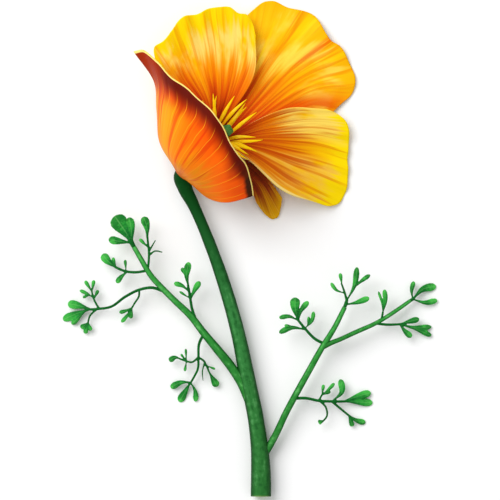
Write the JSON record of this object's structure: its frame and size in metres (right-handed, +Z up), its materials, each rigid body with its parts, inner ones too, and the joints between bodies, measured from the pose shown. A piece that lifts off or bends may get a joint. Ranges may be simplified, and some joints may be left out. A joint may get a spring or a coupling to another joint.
{
  "type": "poppy flower",
  "caption": "Cut poppy lying on its side: open cupped bloom with yellow stamens, a curved stem and two finely divided leaves.",
  "frame": {"origin": "on the surface the flower lies on, under the middle of the whole flower", "axes": "+Y along the stem towards the bloom, +Z up from the surface, +X to the right leaf"},
  "size_m": [0.1128, 0.1489, 0.0336],
  "materials": {
    "stem_green": "satin",
    "leaf_green": "satin",
    "petal_gold": "satin",
    "petal_orange": "satin",
    "pistil_green": "satin",
    "stamen_yellow": "satin"
  },
  "bodies": {
    "root": {"flower_stem": "stem_green", "receptacle": "stem_green", "left_leaf_stalk": "stem_green", "right_leaf_stalk": "stem_green", "right_leaf_fork": "stem_green", "petal_upper_left": "petal_gold", "petal_upper_right": "petal_gold", "petal_right": "petal_gold", "petal_small": "petal_gold", "petal_front": "petal_orange", "pistil": "pistil_green", "stamen_01": "stamen_yellow", "stamen_02": "stamen_yellow", "stamen_03": "stamen_yellow", "stamen_04": "stamen_yellow", "stamen_05": "stamen_yellow", "stamen_06": "stamen_yellow", "stamen_07": "stamen_yellow", "stamen_08": "stamen_yellow", "stamen_09": "stamen_yellow", "stamen_10": "stamen_yellow", "stamen_11": "stamen_yellow", "stamen_12": "stamen_yellow", "stamen_13": "stamen_yellow", "stamen_14": "stamen_yellow", "stamen_15": "stamen_yellow", "left_leaf_end": "leaf_green", "left_leaf_upright": "leaf_green", "left_leaf_side": "leaf_green", "left_leaf_runner": "leaf_green", "left_leaf_hanging": "leaf_green", "left_leaf_inner_up": "leaf_green", "left_leaf_inner_down": "leaf_green", "right_leaf_low": "leaf_green", "right_leaf_inner": "leaf_green", "right_leaf_top": "leaf_green", "right_leaf_fork_up": "leaf_green", "right_leaf_fork_low": "leaf_green", "right_leaf_end": "leaf_green"}
  },
  "joints": []
}
